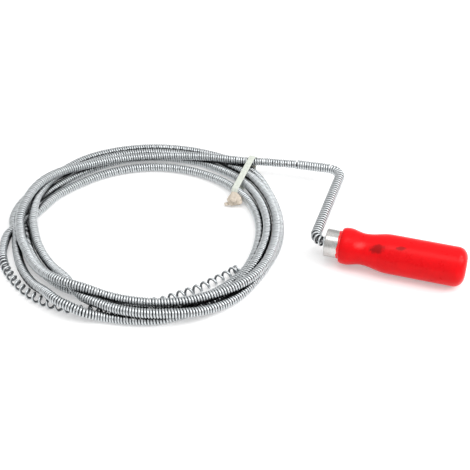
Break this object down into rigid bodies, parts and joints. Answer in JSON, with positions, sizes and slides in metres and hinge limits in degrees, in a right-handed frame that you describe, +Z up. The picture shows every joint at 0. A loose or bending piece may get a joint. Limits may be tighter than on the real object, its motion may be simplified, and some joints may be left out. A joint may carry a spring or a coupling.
{
  "type": "drain snake",
  "caption": "Hand-cranked drain snake: spring-wire cable wound in a tied flat coil, open auger tip, bent crank end and a turned wooden handle that spins on it.",
  "frame": {"origin": "middle of the coil, on the surface that the snake lies on", "axes": "+Z up from that surface, +X towards the crank and handle, +Y towards the side where the cable leaves the coil"},
  "size_m": [0.3849, 0.249, 0.032],
  "materials": {
    "spring_steel": "zinc plated spring wire, semi bright",
    "rod_steel": "drawn steel, dull",
    "collar_brass": "turned, dull",
    "ferrule_steel": "pressed zinc plated sheet, satin",
    "red_wood": "glossy red lacquer on turned wood",
    "tie_plastic": "pale woven plastic tape",
    "knot_tape": "beige taped knot"
  },
  "bodies": {
    "coil": {"cable_coil": "spring_steel", "cable_lead": "spring_steel", "auger_tip": "spring_steel", "tie_band": "tie_plastic", "tie_knot": "knot_tape"},
    "crank": {"crank_spring": "spring_steel", "core_rod": "rod_steel", "retaining_collar": "collar_brass"},
    "handle": {"ferrule": "ferrule_steel", "handle_grip": "red_wood"}
  },
  "joints": [
    {"name": "crank_turn", "type": "hinge", "parent": "coil", "child": "crank", "pos_m": [0.133, 0.0794, 0.016], "axis": [-0.9748, 0.2233, 0], "range_deg": [0, 150]},
    {"name": "handle_spin", "type": "hinge", "parent": "crank", "child": "handle", "pos_m": [0.15038, -0.03349, 0.016], "axis": [0.9563, -0.2924, 0], "continuous": true}
  ]
}
